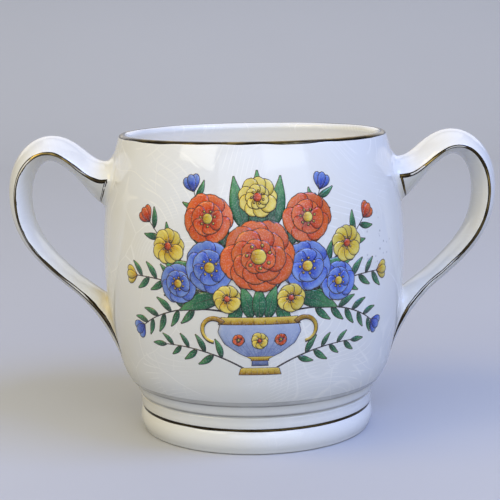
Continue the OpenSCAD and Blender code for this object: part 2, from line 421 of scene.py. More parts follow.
def glaze(name, crazing, creases=(), bare_ring=False, pools=False, specks=False):
    """Cream-white lead glaze, crazed in patches, with a few kiln specks, and creases darkened partly by dirt
    and partly by painted shade.
    """
    s = Shader(name)
    colour = s.mix(s.fade(s.noise(26.0), 0.35, 0.65), cream, cool_white)
    # Painted light: the inside takes the whiter copy of the glaze
    colour = s.mix(s.value("inside"), colour, inside_white)
    height = s.node("SeparateXYZ", {0: s.place}).outputs["Z"]
    outside = s.math("SUBTRACT", 1.0, s.value("inside"))

    def contours(stretch, spacing, patch_scale, low, high):
        """Thin curved lines, like contours of a hill, in patches and here and there broken."""
        hill = s.math("DIVIDE", s.noise(1.0, 0.5, s.vector("MULTIPLY", s.place, stretch)), spacing)
        line = s.within(s.math("PINGPONG", hill, 0.5), 0.02, 0.12)
        unbroken = s.fade(s.noise(170.0, 1.0), 0.4, 0.52)
        return s.times(line, unbroken, s.fade(s.noise(patch_scale, 2.0), low, high))

    def dots(scale, size, chosen):
        """Round dots at some of many random places."""
        cells = s.node("TexVoronoi", {"Vector": s.place, "Scale": scale})
        lot = s.node("SeparateColor", {0: cells.outputs["Color"]}).outputs[0]
        return s.times(s.within(cells.outputs["Distance"], *size), s.fade(lot, *chosen))

    wander = {"Vector": s.place, "Scale": 34.0, "Detail": 1.5}
    shift = s.vector("SUBTRACT", s.node("TexNoise", wander).outputs["Color"], (0.5, 0.5, 0.5))
    bent = s.vector("ADD", s.place, s.vector("MULTIPLY", shift, (craze_bend,) * 3))
    net = s.node("TexVoronoi", {"Vector": bent, "Scale": 62.0}, feature="DISTANCE_TO_EDGE")
    long_lines = s.times(s.within(net.outputs["Distance"], 0.0, craze_line),
                         s.fade(s.noise(48.0, 1.0), 0.44, 0.56))
    fine = s.math("MAXIMUM", *(contours(*row) for row in hairlines))
    lines = s.times(s.math("MAXIMUM", long_lines, fine), outside)
    colour = s.mix(s.times(lines, crazing), colour, crack_pale)
    if creases:
        off_axis = s.vector("LENGTH", s.vector("MULTIPLY", s.place, (1.0, 1.0, 0.0)))
        beyond = s.fade(off_axis, crease_rs[0] * MM, crease_rs[1] * MM)
        patchy = s.times(s.vary(90.0, 0.6, 1.0, high=0.6), beyond)
    # Each crease is darkened grey, partly as dirt and partly as painted shade
    for level, reach, strength in creases:
        off = s.math("ABSOLUTE", s.math("SUBTRACT", height, level * MM))
        stain_and_shade = s.fade(off, 0.3 * reach * MM, reach * MM, strength, 0.0)
        colour = s.mix(s.times(stain_and_shade, patchy), colour, crease_dirt_and_shade_grey)
    kiln = dots(62.0, (0.012, 0.024), (0.84, 0.86))
    colour = s.mix(s.times(kiln, kiln_share), colour, speck_brown)
    rough = s.vary(120.0, 0.035, 0.07, 4.0)
    if specks:
        near = s.fade(s.vector("DISTANCE", s.place, specks_at), *specks_reach, speck_share, 0.0)
        colour = s.mix(s.times(dots(640.0, (0.12, 0.26), (0.2, 0.3)), near), colour, speck_grey)
    if pools:
        amount = s.times(s.value("pool"), s.vary(160.0, 0.35, 1.0, high=0.6))
        colour = s.mix(amount, colour, pooled)
    if bare_ring:
        wiped = s.math("ADD", height, s.vary(300.0, -wipe_waver, wipe_waver))
        bare = s.within(wiped, *wipe_edge)
        colour = s.mix(bare, colour, s.mix(s.noise(700.0), bisque, speck_brown))
        rough = s.math("MAXIMUM", rough, s.times(bare, bare_rough))
    waves = s.math("ADD", s.noise(75.0, 2.0), s.times(s.noise(420.0, 2.0), ripple_share))
    relief = s.math("SUBTRACT", waves, s.times(lines, craze_relief))
    return s.set(Base_Color=colour, Roughness=rough, Normal=s.bump(relief, wave_share, wave_h))


# Gilt colours: a dark gold that paints the dark surroundings mirrored in the gold, partly tarnish too; a
# bright gold for painted highlights; and near-black for painted dark reflections at the edges and for
# tarnish spots
gilt_dark = srgb(64, 53, 33)
gilt_bright = srgb(232, 198, 112)
gilt_black = srgb(36, 30, 23)
gilt_metal = 0.95
gilt_wear_and_glint = 0.25


def gilding(name):
    """Fired gold with painted dark reflections at its edges, painted highlights where its sheen value is
    high, and in places worn through along its crest, where the wear value also paints one reflection.
    """
    s = Shader(name)
    # Painted highlights: bright gold where the painted sheen is high
    painted_highlight = s.times(s.value("painted_sheen"), s.fade(s.noise(85.0), 0.44, 0.6))
    colour = s.mix(painted_highlight, gilt_dark, gilt_bright)
    # Painted dark reflections: near-black towards the line's edges
    off_middle = s.math("ABSOLUTE", s.math("ADD", s.value("across"), s.vary(150.0, -0.25, 0.25)))
    colour = s.mix(s.fade(off_middle, 0.22, 0.48), colour, gilt_black)
    colour = s.mix(s.fade(s.noise(240.0, 4.0), 0.56, 0.72), colour, gilt_black)
    # Worn through to the glaze along the crest; the wear value also paints one pale reflection
    worn_and_glint = s.math("ADD", s.noise(42.0, 2.0), s.times(s.value("wear_and_glint"), gilt_wear_and_glint))
    crest = s.times(s.fade(worn_and_glint, 0.76, 0.83), s.within(off_middle, 0.16, 0.36))
    rubbed_and_glint = s.math("MAXIMUM", crest, s.fade(s.noise(330.0, 2.0), 0.74, 0.78))
    colour = s.mix(rubbed_and_glint, colour, cream)
    metal = s.math("SUBTRACT", gilt_metal, s.times(rubbed_and_glint, gilt_metal))
    return s.set(Base_Color=colour, Metallic=metal, Roughness=s.vary(500.0, 0.1, 0.22, 4.0),
                 Normal=s.bump(s.noise(900.0), 0.15, 0.0002))


# How strongly the inks' patterns show
shade_waver = 0.16
vein_share = 0.7
stipple_share = 0.16
tone_low = (0.80, 0.80, 0.80, 1.0)


def ink(name, root, middle, tip, vein, veins):
    """Printed enamel colour, shaded along each motif and veined across it."""
    s = Shader(name)
    motif = s.node("SeparateXYZ", {0: s.node("UVMap", uv_map="motif").outputs["UV"]})
    across, along = motif.outputs["X"], motif.outputs["Y"]
    wavered = s.math("ADD", along, s.vary(420.0, -shade_waver, shade_waver))
    colour = s.ramp(wavered, [(0.05, root), (0.5, middle), (0.95, tip)])
    stripes = s.math("ABSOLUTE", s.math("SINE", s.times(across, veins * math.pi)))
    drawn = s.times(s.within(stripes, 0.12, 0.3), s.within(along, 0.35, 0.75))
    colour = s.mix(s.times(drawn, vein_share), colour, vein)
    stipple = s.fade(s.noise(2600.0, 1.0), 0.5, 0.7)
    colour = s.mix(s.times(stipple, stipple_share), colour, cream)
    tint = s.ramp(s.value("tone"), [(0.0, tone_low), (1.0, (1.0, 1.0, 1.0, 1.0))])
    colour = s.mix(1.0, colour, tint, "MULTIPLY")
    return s.set(Base_Color=colour, Roughness=s.vary(200.0, 0.08, 0.15))


# Crease marks, partly dirt and partly painted shade: height and reach in millimetres, and strength. The
# body's wider band paints the shade under its heel, and the foot's wide faint ones paint shade fading below
# each step
body_creases = [(foot_h, 0.45, 0.75), (foot_h + 0.7, 0.85, 0.4), (foot_h + 1.35, 0.25, 0.4)]
foot_creases = [(foot_h, 0.45, 0.7), (foot_h, 1.5, 0.15), (line_z + line_h, 0.6, 0.6), (line_z, 1.6, 0.15)]
body_glaze = glaze("body_glaze", 0.9, body_creases, specks=True)
foot_glaze = glaze("foot_glaze", 0.25, foot_creases, bare_ring=True)
handle_glaze = glaze("handle_glaze", 0.3, pools=True)
gold = gilding("gilding")

# Body and foot
turn_segments = 256
outer_profile = joined(
    [[0, foot_h]],
    arc(corner_c, corner_r, -90, corner_a, 8),
    arc(heel_c, heel_r, corner_a, heel_a, 16),
    arc(barrel_c, barrel_r, heel_a, lip_a, 44),
    arc(lip_c, lip_r, lip_a, 180 + lip_a, 18),
)
body_profile = joined(
    outer_profile,
    arc(barrel_c, barrel_r - wall_t, lip_a, heel_a, 40),
    arc(heel_c, heel_in_r, heel_a, fillet_a, 8),
    arc(fillet_c, fillet_r, fillet_a, -90, 12),
    [[0, floor_z]],
)
body_points, body_faces = revolved(body_profile, turn_segments, False)
inside = np.arange(len(body_points)) >= turn_segments * (len(outer_profile) - 1)
make_piece("cup_body_shell", body_points, body_faces, body_glaze, "body_glaze", ["cup_body"],
           values={"inside": inside})

base_c = np.array([base_r - base_curve_r, base_mid_z])
base_top_a = arcsine((base_h - base_mid_z) / base_curve_r)
base_low_a = -arcsine((base_mid_z - rest_edge_r) / base_curve_r)
base_curve = arc(base_c, base_curve_r, base_low_a, base_top_a, 18)
groove_r = base_curve[-1][0]
hollow_r = ring_r - foot_wall
rest_out_r = base_curve[0][0] - rest_edge_r
ring_rows = 25
line_deepest = 0.8


def ring_face(low, high, radii):
    """A ring's face from one radius to another, softly swollen, with its two edges rounded over."""
    share = 0.5 - 0.5 * np.cos(np.linspace(0, math.pi, ring_rows))
    z = low + (high - low) * share
    into_edge = np.clip(1 - np.minimum(z - low, high - z) / ring_edge_r, 0, 1)
    r = radii[0] + (radii[1] - radii[0]) * share + ring_swell * 4 * share * (1 - share)
    return np.column_stack([r - ring_edge_r * (1 - np.sqrt(1 - into_edge ** 2)), z])


foot_profile = joined(
    arc([hollow_r + rest_edge_r, rest_edge_r], rest_edge_r, 180, 270, 6),
    arc([rest_out_r, rest_edge_r], rest_edge_r, 270, 270 + 90 + base_low_a, 6),
    base_curve,
    [[groove_r, gilt_top_z]],
    ring_face(gilt_top_z, line_z, lower_ring_rs),
    [[lower_ring_rs[1] - line_depth, line_z + line_deepest * line_h]],
    ring_face(line_z + line_h, foot_h, upper_ring_rs),
    [[hollow_r - foot_draft, foot_h]],
)
make_piece("foot_ring", *revolved(foot_profile, turn_segments, True), foot_glaze, "foot_glaze", ["foot"])

# Middle line of the right-hand handle in its own plane, as four curves
joint_z = cup_h - joint_drop
root = np.array([float(body_radius(joint_z)), joint_z])
crown = np.array([belly_r + crown_out, crown_z - strap_t / 2])
bow = np.array([belly_r + handle_reach - bow_t / 2, cup_h - bow_drop])
waist = np.array([belly_r + waist_out, waist_z])
tail = np.array([float(body_radius(tail_z)) - strap_low_t / 2 - tail_sink, tail_z])

# How far each curve pulls away from its ends before it bends, in millimetres
root_pull = np.array([6.0, 0.5])
crown_pulls = np.array([[6.0, 0.0], [5.2, 0.0]])
bow_pulls = np.array([[0.0, 7.5], [0.0, 11.0]])
waist_pulls = [12.0, 7.0]
tail_pull = 12.0
curves = [
    [root, root + root_pull, crown - crown_pulls[0], crown],
    [crown, crown + crown_pulls[1], bow + bow_pulls[0], bow],
    [bow, bow - bow_pulls[1], waist + waist_pulls[0] * heading(waist_angle), waist],
    [waist, waist - waist_pulls[1] * heading(waist_angle), tail + tail_pull * heading(tail_angle), tail],
]
half_t = np.array([strap_t, strap_t, bow_t, strap_low_t, strap_low_t]) / 2
half_w = np.array([strap_w, strap_w, (strap_w + strap_low_w) / 2, strap_low_w, strap_low_w]) / 2
ridge_ins = np.array([ridge_in, ridge_in, ridge_low_in, ridge_low_in, ridge_low_in])
curve_steps = 60
root_depth = 7.0
root_steps = 20
round_steps = 14
strap_sides = 48
strap_rows = 120
side_angles = np.radians(np.arange(strap_sides) * 360 / strap_sides)

# Spacing of the strap's rows, and how the tail's rounding turns from outwards to onwards
end_crowding = 0.45
onward_share = 0.75
onward_swing = 1.4
onward_back = 4


def fade_out(distance, reach):
    return np.maximum(0, 1 - distance / reach) ** 2


def strap_stations():
    """Stations along the strap: places, directions, thickness above and below, half width, ridge place."""
    places, ways, places_on = [], [], []
    for c, (p0, p1, p2, p3) in enumerate(curves):
        t = np.linspace(0, 1, curve_steps + 1)[:, None]
        t = t if c == len(curves) - 1 else t[:-1]
        place = (1 - t) ** 3 * p0 + 3 * t * (1 - t) ** 2 * p1 + 3 * t * t * (1 - t) * p2 + t ** 3 * p3
        way = (1 - t) ** 2 * (p1 - p0) + 2 * t * (1 - t) * (p2 - p1) + t * t * (p3 - p2)
        places.append(place)
        ways.append(unit(way))
        places_on.append(c + t[:, 0])
    depth = np.linspace(root_depth, 0, root_steps, endpoint=False)[:, None]
    place = np.vstack([root - depth * ways[0][0], *places])
    way = np.vstack([np.repeat(ways[0][:1], len(depth), axis=0), *ways])
    on = np.concatenate([np.zeros(len(depth)), *places_on])
    meets = np.arange(len(half_t))
    thick = np.interp(on, meets, half_t)
    upper = np.where(on < 1, fade_out(place[:, 0] - root[0], flare_len), 0)
    off_wall = np.maximum(0, place[:, 0] - body_radius(place[:, 1]))
    lower = np.where(on >= 3, low_flare * fade_out(off_wall, low_flare_len), 0)
    above = thick + flare_up * upper
    below = thick + flare_down * upper + lower
    ridge = np.interp(on, meets, ridge_ins) - ridge_rise * np.minimum(1, upper)
    return place, way, above, below, np.interp(on, meets, half_w), ridge


def on_wall(points):
    """Points moved straight on to the body's wall, just under its surface."""
    return points - body_normal(points) * (body_distance(points) + joint_sink)[..., None]


def along_wall(directions, points):
    """Unit directions along the body's wall at points on it."""
    wall = body_normal(points)
    return unit(directions - np.sum(directions * wall, axis=-1, keepdims=True) * wall)


def rounded(wall_end, contact, start):
    """A curve that leaves the wall along it and runs into a rail."""
    t = np.linspace(0, 1, round_steps + 1)[:, None]
    return (1 - t) ** 2 * wall_end + 2 * t * (1 - t) * contact + t * t * start


def rail_between(rail, normals, rounds, outer_share):
    """A rail of the strap from wall to wall, with its two ends rounded on to the wall."""
    clear = body_distance(rail)
    out = np.nonzero(clear > 0)[0]
    contacts = []
    for inner, outer in ((out[0] - 1, out[0]), (out[-1] + 1, out[-1])):
        share = clear[inner] / (clear[inner] - clear[outer])
        contacts.append(rail[inner] + (rail[outer] - rail[inner]) * share)
    line = np.vstack([contacts[0], rail[out], contacts[1]])
    run = run_along(line)
    top_way = along_wall(normals[out[0]], contacts[0])
    onward = along_wall(contacts[1] - rail[out[-onward_back]], contacts[1])
    low_way = (1 - outer_share) * along_wall(normals[out[-1]], contacts[1]) + outer_share * onward
    starts = [at_run(at, run, line) for at in (rounds[0], run[-1] - rounds[1])]
    ends = [on_wall(contacts[0] + rounds[0] * top_way), on_wall(contacts[1] + rounds[1] * low_way)]
    kept = line[(run > rounds[0]) & (run < run[-1] - rounds[1])]
    top, low = (rounded(e, c, b) for e, c, b in zip(ends, contacts, starts))
    return np.vstack([top, kept, low[::-1]])


def strap_surface():
    """The strap's skin as rails that start and end just inside the body's wall."""
    place, way, above, below, wide, ridge = strap_stations()
    a = side_angles
    high = np.where(np.sin(a) >= 0, (above + ridge)[:, None], (below - ridge)[:, None])
    lift = np.sign(np.sin(a)) * high * np.abs(np.sin(a)) ** lens_power - ridge[:, None]
    x = place[:, :1] - lift * way[:, 1:]
    z = place[:, 1:] + lift * way[:, :1]
    skin = np.stack([x, wide[:, None] * np.cos(a), z], axis=-1)
    normals = strap_normals(skin)
    even = np.linspace(0, 1, strap_rows + 1)
    spaced = (1 - end_crowding) * even + end_crowding * (0.5 - 0.5 * np.cos(math.pi * even))
    rails = []
    for k in range(strap_sides):
        up = math.sin(a[k])
        rounds = [np.interp(-up, [-1, 0, 1], r) for r in (joint_rounds, tail_rounds)]
        outer_share = np.clip(onward_share + onward_swing * up, 0, 1)
        rail = rail_between(skin[:, k], normals[:, k], rounds, outer_share)
        run = run_along(rail)
        rails.append(at_run(spaced * run[-1], run, rail))
    return np.stack(rails, axis=1)


def strap_normals(skin):
    along = np.gradient(skin, axis=0)
    round_way = np.roll(skin, -1, axis=1) - np.roll(skin, 1, axis=1)
    return unit(np.cross(round_way, along))


def mirrored(points, faces, side):
    """The right-hand form as it is, or turned over for the left-hand handle."""
    if side > 0:
        return points, faces
    return np.asarray(points) * [-1, 1, 1], flipped(faces)


def strap_faces():
    faces, last = [], strap_rows * strap_sides
    for row in range(0, last, strap_sides):
        for k in range(strap_sides):
            n, up = (k + 1) % strap_sides, row + strap_sides
            faces.append([row + k, row + n, up + n, up + k])
    return faces + [list(range(strap_sides))[::-1], list(range(last, last + strap_sides))]


# Gilt lines, in millimetres over and in the glaze
gilt_lift = 0.05
gilt_bed = 0.05
end_rise = 0.09
end_rows = 12
line_cols = 9

# A line's short turn beside the upper joint, from and to these distances off the wall, in millimetres
turn_from = 1.3
turn_to = 2.1
turn_sides = 9
turn_steps = 28
turn_cols = 5
turn_thin = 0.45
# Painted highlight and wear of the turns
turn_painted_sheen = 0.6
turn_wear = 1.0

# How the lines waver: knots and reach
width_waver = (37, 0.14)
place_waver = (29, 0.08)
turn_waver = (5, 0.06)

# Rails and rows on each side in which a cut across a ridge is sought
rail_reach = 4
row_reach = 9

# Width of each handle's gilt lines and how far they lie in from its ridges, in millimetres, and their
# painted highlights and wear, at places from its upper joint, 0, to its tail, 1
line_w = {"left": [(0.0, 1.25), (0.5, 1.25), (0.62, 1.55), (0.85, 1.5), (1.0, 1.2)],
          "right": [(0.0, 1.25), (1.0, 1.05)]}
line_in = {"left": [(0.0, 0.1), (0.3, 0.1), (0.4, -0.6), (0.5, -0.6), (0.6, -0.3), (0.75, 0.15), (1.0, 0.4)],
           "right": [(0.0, 0.1), (0.3, 0.15), (0.4, -0.1), (0.5, -0.1), (0.6, 0.35), (0.72, 0.7),
                     (0.85, 0.3), (1.0, 0.45)]}
line_painted_sheen = {"left": [(0.19, 0.1), (0.24, 1.0), (0.34, 1.0), (0.42, 0.4), (0.6, 0.1)],
              "right": [(0.3, 1.0), (0.42, 0.5), (0.5, 0.1)]}
# The right handle's raised wear from 0.085 to 0.165 paints a reflection, a pale blob, rather than wear
line_wear_and_glint = {"left": [(0.28, 0.5), (0.33, 1.45), (0.39, 1.45), (0.45, 1.2), (0.58, 0.9)],
             "right": [(0.085, 0.6), (0.095, 1.8), (0.15, 1.8), (0.165, 0.6), (0.225, 0.6),
                       (0.24, 1.7), (0.28, 1.7), (0.32, 0.6), (0.5, 0.6), (0.58, 1.3)]}


def on_line(table, run):
    """A gilt line's value at places along its handle."""
    return np.interp(run, *zip(*table))


def crowned(across):
    """Height of a gilt line across it, thin at its edges."""
    return gilt_lift * (1 - across ** 4)


def skin_at(grid, rows, sides):
    """Places on the strap between its rows and rails."""
    rows, sides = np.broadcast_arrays(np.asarray(rows, float), np.asarray(sides, float))
    i = np.clip(np.floor(rows).astype(int), 0, strap_rows - 1)
    k = np.floor(sides).astype(int)
    s, t = (rows - i)[..., None], (sides - k)[..., None]
    first, second = k % strap_sides, (k + 1) % strap_sides
    near, far = (grid[row, first] * (1 - t) + grid[row, second] * t for row in (i, i + 1))
    return near * (1 - s) + far * s


def row_off_wall(skin, side, distance):
    """Row at which the strap's upper end stands a distance off the wall."""
    rows = np.arange(strap_rows // 3)
    rail = math.floor(side)
    near, far = (np.interp(distance, body_distance(skin[rows, k % strap_sides]), rows)
                 for k in (rail, rail + 1))
    return near + (far - near) * (side - rail)


def across_ridge(skin, normals, ridge, rows, offsets):
    """Places at distances along the skin, square to a ridge, and the directions out of the skin there."""
    spine = skin_at(skin, rows, ridge)
    ways = np.gradient(spine, axis=0)
    rails = np.arange(ridge - rail_reach, ridge + rail_reach + 1)
    places, outs = [], []
    for row, place, way, offset in zip(rows, spine, ways, offsets):
        first, last = max(0, int(row) - row_reach), min(strap_rows, int(row) + row_reach + 1)
        window = np.arange(first, last + 1)
        ahead = (skin[window][:, rails % strap_sides] - place) @ way
        level = np.array([np.interp(0, ahead[:, k], window) for k in range(len(rails))])
        cut = skin_at(skin, level, rails)
        run = run_along(cut)
        run = run - run[rail_reach]
        places.append(at_run(offset, run, cut))
        outs.append(at_run(offset, run, skin_at(normals, level, rails)))
    return np.array(places), np.array(outs)


def ridge_gilding(skin, normals, ridge, inward, name):
    """The gilt line along one ridge of a handle's strap, with the short turn beside its upper joint."""
    rows = np.linspace(row_off_wall(skin, ridge, turn_from), strap_rows - 0.5, 2 * strap_rows)
    run = rows / strap_rows
    half = on_line(line_w[name], run) / 2 * (1 + smooth_noise(len(rows), *width_waver))
    drift = inward * on_line(line_in[name], run) + smooth_noise(len(rows), *place_waver)
    across = np.linspace(-1, 1, line_cols)
    top, out = across_ridge(skin, normals, ridge, rows, drift[:, None] + half[:, None] * across)
    rise = end_rise * np.clip(1 - (strap_rows - rows) / end_rows, 0, 1)
    line = slab(top + out * (crowned(across) + rise[:, None])[..., None], top - out * gilt_bed)
    steps = np.linspace(0, turn_sides, turn_steps)
    turn_across = np.linspace(-1, 1, turn_cols)
    turn_rows = []
    for step, waver in zip(steps, smooth_noise(len(steps), *turn_waver)):
        thin = 1 - turn_thin * step / turn_sides
        wanted = turn_from + ((turn_to - turn_from) * (turn_across + 1) / 2 + waver) * thin
        turn_rows.append(row_off_wall(skin, ridge + inward * step, wanted))
    turn_rows = np.array(turn_rows)
    turn_rails = ridge + inward * steps[:, None]
    top = skin_at(skin, turn_rows, turn_rails)
    out = skin_at(normals, turn_rows, turn_rails)
    turn = slab(top + out * crowned(turn_across)[None, :, None], top - out * gilt_bed)
    if inward < 0:
        turn = turn[0], flipped(turn[1])
    middle_out = np.concatenate([np.tile(across, 2 * len(rows)), np.tile(turn_across, 2 * len(steps))])
    run = np.tile(np.repeat(run, len(across)), 2)
    painted_sheen = np.concatenate([on_line(line_painted_sheen[name], run), np.full(len(turn[0]), turn_painted_sheen)])
    wear_and_glint = np.concatenate([on_line(line_wear_and_glint[name], run), np.full(len(turn[0]), turn_wear)])
    faces = line[1] + shifted(turn[1], len(line[0]))
    return np.vstack([line[0], turn[0]]), faces, {"across": middle_out, "painted_sheen": painted_sheen, "wear_and_glint": wear_and_glint}


skin = strap_surface()
normals = strap_normals(skin)
strap_points = skin.reshape(-1, 3)
# Glaze pooled at the handles' joints
low_joint_z = 45.0
pool_reach = 5.0
pool_up = 0.1
upper_pool = 0.25
pool_shares = {"left": 0.85, "right": 0.3}
near_wall = np.clip(1 - np.maximum(body_distance(strap_points), 0) / pool_reach, 0, 1)
inner_face = np.tile(np.sin(side_angles) < pool_up, strap_rows + 1)
pool = near_wall * inner_face * np.where(strap_points[:, 2] < low_joint_z, 1.0, upper_pool)
front_ridge, back_ridge = strap_sides // 2, 0
for side, name in ((-1, "left"), (1, "right")):
    points, faces = mirrored(strap_points, strap_faces(), side)
    make_piece(name + "_handle_strap", points, faces, handle_glaze, "handle_glaze", [name + "_handle"],
               values={"pool": pool * pool_shares[name]})
    for edge, ridge, inward in (("front", front_ridge, 1), ("back", back_ridge, -1)):
        points, faces, values = ridge_gilding(skin, normals, ridge, inward, name)
        points, faces = mirrored(points, faces, side)
        make_piece(f"{name}_handle_{edge}_gilt_line", points, faces, gold, "gilding",
                   [f"{name}_handle_{edge}_gilding"], values=values)


# Edges of the gilt lines on the lip, in degrees round it, and on the foot, in millimetres
film_count = 480
lip_gilt = (32, 104)
foot_gilt_in = (0.06, 0.04)
lip_from = lip_gilt[0] + smooth_noise(film_count, 41, 9.0)
lip_to = lip_gilt[1] + smooth_noise(film_count, 23, 8.0)
line_from = base_h - foot_gilt_in[0] + smooth_noise(film_count, 31, 0.05)
line_to = gilt_top_z - foot_gilt_in[1] + smooth_noise(film_count, 37, 0.05)


def lip_film(angle, lift):
    a = np.radians(angle)
    return lip_c[0] + (lip_r + lift) * np.cos(a), lip_c[1] + (lip_r + lift) * np.sin(a)


def foot_film(z, lift):
    shoulder = base_c[0] + np.sqrt(base_curve_r ** 2 - (np.minimum(z, base_h) - base_mid_z) ** 2)
    return shoulder + lift, z


def turned_film(profile_at, first, last, columns):
    """A thin gilt film round the cup, from its first edge to its last."""
    turn = np.linspace(0, 2 * math.pi, film_count, endpoint=False)[:, None]
    at = first[:, None] + (last - first)[:, None] * np.linspace(0, 1, columns)
    grids = []
    for lift in (crowned(np.linspace(-1, 1, columns)), np.full(columns, -gilt_bed)):
        r, z = profile_at(at, lift)
        grids.append(np.stack([r * np.cos(turn), r * np.sin(turn), z], axis=-1))
    return slab(*grids, wrap=True)


# Gilt lines round the cup: form, edges, columns, painted highlight, and how far across them their painted
# dark reflections lie
films = {"rim": (lip_film, lip_from, lip_to, 9, 0.4, 0.6),
         "foot": (foot_film, line_from, line_to, 7, 0.15, 1.0)}
for name, (film, first, last, columns, painted_sheen, dark_edge) in films.items():
    across = np.tile(np.linspace(-dark_edge, dark_edge, columns), 2 * film_count)
    values = {"across": across, "painted_sheen": np.full(len(across), painted_sheen), "wear_and_glint": np.zeros(len(across))}
    make_piece(name + "_gilt_line", *turned_film(film, first, last, columns), gold, "gilding",
               [name + "_gilding"], values=values)

# Printed urn of flowers, in millimetres along the wall (u) and up (z) from the cup's middle line
outline_w = 0.15
film_base = 0.02
film_step = 0.01
film_bed = 0.02
blade_cell = 0.8

# Levels that the motifs have taken, in cells of the unrolled wall
stack_cell = 0.2
stack = np.zeros((420, 520), int)
stack_fine = 8


def rest_on(flat):
    """The first free level over a motif's whole place, which the motif then takes."""
    col = np.round(flat[..., 0] / stack_cell).astype(int) + stack.shape[1] // 2
    row = np.round(flat[..., 1] / stack_cell).astype(int)
    taken = stack[row, col].max() + 1
    stack[row, col] = taken
    return film_base + film_step * taken


petal_root = 0.16
petal_widest = 0.62
petal_round = 0.385


def petal_shape(t):
    """Width of a petal along it, as a share, as in the shapes that follow."""
    rising = petal_root + (1 - petal_root) * np.sin(t / petal_widest * math.pi / 2) ** 1.2
    falling = np.sqrt(np.maximum(1 - ((t - petal_widest) / petal_round) ** 2, 0))
    return np.where(t < petal_widest, rising, falling)


def leaf_shape(t):
    return 0.05 + 0.95 * np.sin(math.pi * t ** 0.8) ** 1.1


def disc_shape(t):
    return np.sqrt(np.maximum(1 - (2 * t - 1) ** 2, 0.004))


def stem_shape(t):
    return 1 - 0.55 * t


def blade_grid(base, angle, length, width, shape, bend, pad, rows, cols):
    """Places on the unrolled wall over a motif, with a margin at its sides, and its spine."""
    t = np.linspace(0, 1, rows + 1)
    ways = heading(angle + bend * (t - 0.5))
    steps = ways * length / rows
    spine = np.asarray(base, float) + np.vstack([[0, 0], np.cumsum((steps[1:] + steps[:-1]) / 2, axis=0)])
    side = ways[:, ::-1] * [-1, 1]
    across = np.linspace(-1, 1, cols + 1)
    half = width / 2 * shape(t) + pad
    return spine[:, None] + side[:, None] * half[:, None, None] * across[:, None], spine


class Ink:
    """All the motifs that are printed in one colour, each a thin closed film on the glaze."""

    def __init__(self):
        self.points, self.faces, self.smooth, self.uv, self.tone = [], [], [], [], []

    def blade(self, base, angle, length, width, shape, lift=None, bend=0.0, pad=0.0, rows=10):
        """A motif along a bent spine, as wide as its shape says. Returns the spine's end and the lift."""
        rows = max(rows, math.ceil(length))
        cols = max(1, math.ceil(width * shape(np.linspace(0, 1, 21)).max() / blade_cell))
        form = base, angle, length, width, shape, bend, pad
        if lift is None:
            lift = rest_on(blade_grid(*form, stack_fine * rows, stack_fine * cols)[0])
        flat, spine = blade_grid(*form, rows, cols)
        u, z = flat[..., 0], flat[..., 1]
        points, faces = slab(on_body(u, z, lift), on_body(u, z, -film_bed))
        self.faces += shifted(faces, sum(len(p) for p in self.points))
        self.points.append(points)
        self.smooth += [i < 2 * rows * cols for i in range(len(faces))]
        grid = np.meshgrid(np.linspace(0, 1, cols + 1), np.linspace(0, 1, rows + 1))
        self.uv += [np.stack(grid, axis=-1).reshape(-1, 2)] * 2
        self.tone.append(np.full(len(points), rng.uniform()))
        return spine[-1], lift


# Inks: piece, colours at a motif's root, middle and tip and of its veins, and number of veins
dark = srgb(52, 40, 44)
ink_looks = {
    "outline": ("print_outlines", dark, dark, srgb(74, 52, 44), dark, 1),
    "red": ("print_red_petals",
            srgb(150, 34, 14), srgb(218, 72, 22), srgb(232, 112, 48), srgb(120, 24, 14), 5),
    "blue": ("print_blue_petals",
             srgb(40, 50, 140), srgb(66, 98, 208), srgb(128, 158, 226), srgb(30, 36, 110), 5),
    "yellow": ("print_yellow_petals",
               srgb(196, 132, 20), srgb(228, 196, 50), srgb(240, 220, 110), srgb(150, 96, 20), 3),
    "green": ("print_leaves",
              srgb(18, 78, 52), srgb(42, 122, 80), srgb(96, 164, 100), srgb(12, 58, 44), 6),
    "slate": ("print_urn",
              srgb(104, 120, 170), srgb(150, 166, 206), srgb(176, 190, 222), srgb(84, 98, 150), 13),
    "gold": ("print_gold_details",
             srgb(160, 112, 20), srgb(214, 176, 48), srgb(236, 208, 96), srgb(112, 76, 16), 7),
}
inks = {name: Ink() for name in ink_looks}


def drawn(name, base, angle, length, width, shape, bend=0.0, **grid):
    """A motif in one ink over its own dark outline."""
    back = np.asarray(base, float) - outline_w * heading(angle - bend / 2)
    longer = length + 2 * outline_w
    lift = inks["outline"].blade(back, angle, longer, width, shape, bend=bend, pad=outline_w, **grid)[1]
    inks[name].blade(base, angle, length, width, shape, lift + film_step / 2, bend, **grid)


def disc(name, centre, radius):
    drawn(name, np.asarray(centre, float) - [radius, 0], 0, 2 * radius, 2 * radius, disc_shape)


midrib_share = 0.8
midrib_w = 0.16


def leaf(base, angle, length, width, bend=0.0):
    drawn("green", base, angle, length, width, leaf_shape, bend)
    inks["outline"].blade(base, angle, length * midrib_share, midrib_w, stem_shape, bend=bend)


# Layers of petals: their length as a share of the flower's radius, and their turn as a share of a petal
single = ((1.0, 0.0),)
double = ((1.0, 0.0), (0.66, 0.5))
small_double = ((1.0, 0.0), (0.6, 0.5))
triple = ((1.0, 0.0), (0.74, 0.5), (0.46, 0.2))
petal_overlap = 2.375

# A flower's heart and seeds, as shares of its radius, and the seeds' number and step
heart_r = 0.2
seed_r = 0.035
seeds_out = 0.31
seeds = 7
seed_step = 0.9


